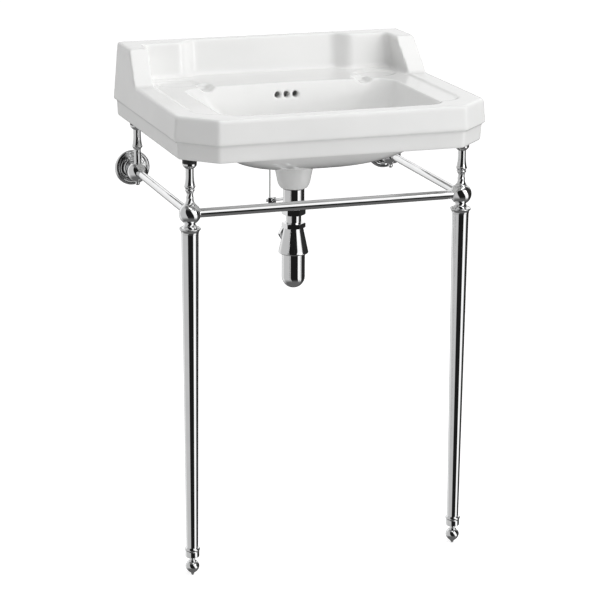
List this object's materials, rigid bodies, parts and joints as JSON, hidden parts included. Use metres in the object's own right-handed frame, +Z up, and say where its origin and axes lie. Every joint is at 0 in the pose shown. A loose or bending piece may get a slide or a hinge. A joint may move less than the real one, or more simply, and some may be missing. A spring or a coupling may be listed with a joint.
{
  "type": "console sink with legs",
  "caption": "Glazed ceramic console washbasin with a raised back, on a polished metal stand with turned tapered legs, ball fittings and rails, with pop-up waste and bottle trap.",
  "frame": {"origin": "on the floor under the middle of the object's box: Z = 0 at the tips of the feet, X = 0 in the plane of symmetry, Y = 0 half way between the wall and the front of the basin", "axes": "+X to the right as seen from the front, +Y towards the wall, +Z up; the front of the basin faces -Y"},
  "size_m": [0.567, 0.47, 0.898],
  "materials": {
    "ceramic": "white gloss glaze",
    "chrome": "polished chrome plate on brass",
    "rubber": "matt black rubber",
    "white_plastic": "white plastic",
    "steel": "plain stainless steel"
  },
  "bodies": {
    "stand": {"basin": "ceramic", "basin_pads": "rubber", "waste_upper_seal": "rubber", "waste_lower_seal": "rubber", "trap_inlet_washer": "rubber", "trap_cap_washer": "rubber", "trap_cup_seal": "rubber", "trap_outlet_washer": "rubber", "pivot_seat": "white_plastic", "rail_grub_screws": "steel", "wall_plate_left": "steel", "wall_plate_right": "steel", "front_rail": "chrome", "waste_flange": "chrome", "waste_tail": "chrome", "pivot_nut": "chrome", "trap_inlet_nut": "chrome", "trap_tube": "chrome", "trap_cap_nut": "chrome", "trap_bell": "chrome", "trap_outlet_nut": "chrome", "side_rail_left": "chrome", "front_ball_left": "chrome", "rear_ball_left": "chrome", "front_pillar_left": "chrome", "rear_pillar_left": "chrome", "rear_finial_left": "chrome", "leg_collar_left": "chrome", "leg_left": "chrome", "foot_sleeve_left": "chrome", "wall_boss_left": "chrome", "wall_rose_left": "chrome", "side_rail_right": "chrome", "front_ball_right": "chrome", "rear_ball_right": "chrome", "front_pillar_right": "chrome", "rear_pillar_right": "chrome", "rear_finial_right": "chrome", "leg_collar_right": "chrome", "leg_right": "chrome", "foot_sleeve_right": "chrome", "wall_boss_right": "chrome", "wall_rose_right": "chrome"},
    "pop_up_lever": {"pivot_lever": "chrome"},
    "pop_up_plug": {"plug": "chrome", "plug_seal": "rubber"},
    "lift_rod_set": {"lift_rod": "chrome", "rod_clamp": "chrome", "rod_clamp_screw": "chrome"},
    "foot_left_body": {"foot_left": "chrome"},
    "foot_right_body": {"foot_right": "chrome"},
    "trap_cup_body": {"trap_cup": "chrome"}
  },
  "joints": [
    {"name": "lever_pivot", "type": "hinge", "parent": "stand", "child": "pop_up_lever", "pos_m": [0, 0.06, 0.624], "axis": [1, 0, 0], "range_deg": [0, 20]},
    {"name": "plug_travel", "type": "slide", "parent": "stand", "child": "pop_up_plug", "axis": [0, 0, 1], "range_m": [-0.00892, 0]},
    {"name": "rod_travel", "type": "slide", "parent": "stand", "child": "lift_rod_set", "axis": [0, 0, 1], "range_m": [0, 0.0343]},
    {"name": "foot_left_screw", "type": "slide", "parent": "stand", "child": "foot_left_body", "axis": [0, 0, 1], "range_m": [0, 0.0055]},
    {"name": "foot_right_screw", "type": "slide", "parent": "stand", "child": "foot_right_body", "axis": [0, 0, 1], "range_m": [0, 0.0055]},
    {"name": "trap_cup_screw", "type": "slide", "parent": "stand", "child": "trap_cup_body", "axis": [0, 0, 1], "range_m": [-0.012, 0]}
  ],
  "couplings": [
    {"joint": "plug_travel", "follows": "lever_pivot", "m_per_rad": -0.025418},
    {"joint": "rod_travel", "follows": "lever_pivot", "m_per_rad": 0.098115}
  ]
}
